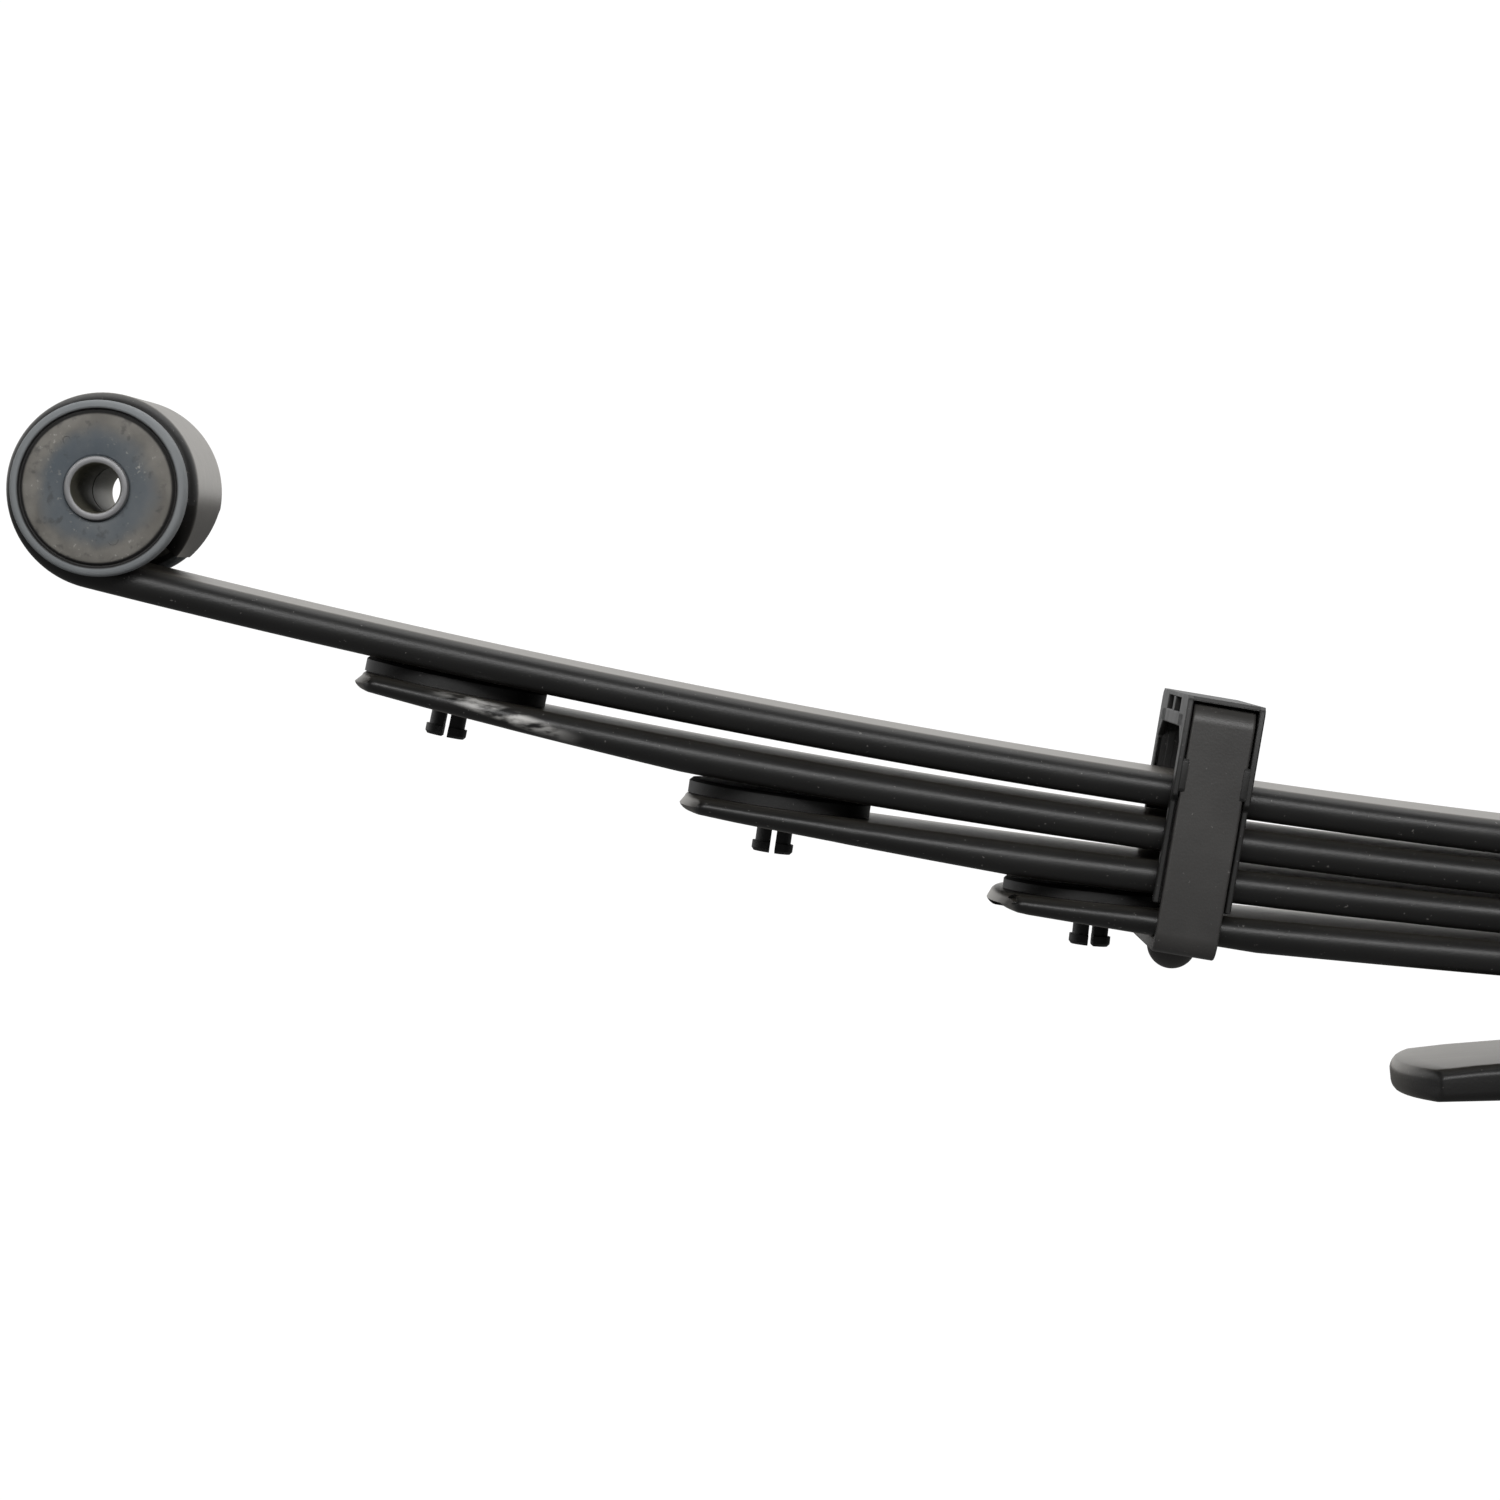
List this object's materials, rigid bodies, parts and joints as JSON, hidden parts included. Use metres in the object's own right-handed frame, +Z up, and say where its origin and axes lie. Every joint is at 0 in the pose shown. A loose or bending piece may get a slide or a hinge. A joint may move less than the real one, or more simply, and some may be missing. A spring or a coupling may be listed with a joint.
{
  "type": "leaf spring",
  "caption": "Multi-leaf vehicle suspension spring: stacked curved bars with rubber-bushed rolled eyes, tip pads, rebound clips and a flat overload bar on a centre bolt.",
  "frame": {"origin": "centre of the axle seat, on the underside of the overload leaf, on the centre bolt's axis", "axes": "+X along the spring from the front eye to the rear eye, +Y across the leaves along the eye bolts, +Z up, square to the seat"},
  "size_m": [1.4284, 0.078, 0.1785],
  "materials": {
    "leaf_paint": "satin black",
    "clip_paint": "satin black",
    "bolt_steel": "satin black",
    "bush_rubber": "dull, blue-grey",
    "sleeve_steel": "turned",
    "pad_plastic": "moulded black",
    "liner_plastic": "moulded black"
  },
  "bodies": {
    "root": {"main_leaf": "leaf_paint", "second_leaf": "leaf_paint", "third_leaf": "leaf_paint", "fourth_leaf": "leaf_paint", "overload_leaf": "leaf_paint", "centre_bolt": "bolt_steel", "centre_nut": "bolt_steel", "front_upper_tip_pad": "pad_plastic", "front_middle_tip_pad": "pad_plastic", "front_lower_tip_pad": "pad_plastic", "front_clip_strap": "clip_paint", "front_clip_liner": "liner_plastic", "front_clip_rivet": "clip_paint", "front_left_bush": "bush_rubber", "front_right_bush": "bush_rubber", "rear_upper_tip_pad": "pad_plastic", "rear_middle_tip_pad": "pad_plastic", "rear_lower_tip_pad": "pad_plastic", "rear_clip_strap": "clip_paint", "rear_clip_liner": "liner_plastic", "rear_clip_rivet": "clip_paint", "rear_left_bush": "bush_rubber", "rear_right_bush": "bush_rubber"},
    "front_sleeve": {"front_left_inner_sleeve": "sleeve_steel", "front_right_inner_sleeve": "sleeve_steel"},
    "rear_sleeve": {"rear_left_inner_sleeve": "sleeve_steel", "rear_right_inner_sleeve": "sleeve_steel"}
  },
  "joints": [
    {"name": "front_eye_twist", "type": "hinge", "parent": "root", "child": "front_sleeve", "pos_m": [-0.69, 0, 0.14727], "axis": [0, 1, 0], "range_deg": [-20, 20], "stiffness_Nm_per_rad": 60},
    {"name": "rear_eye_twist", "type": "hinge", "parent": "root", "child": "rear_sleeve", "pos_m": [0.69, 0, 0.14727], "axis": [0, 1, 0], "range_deg": [-20, 20], "stiffness_Nm_per_rad": 60}
  ]
}
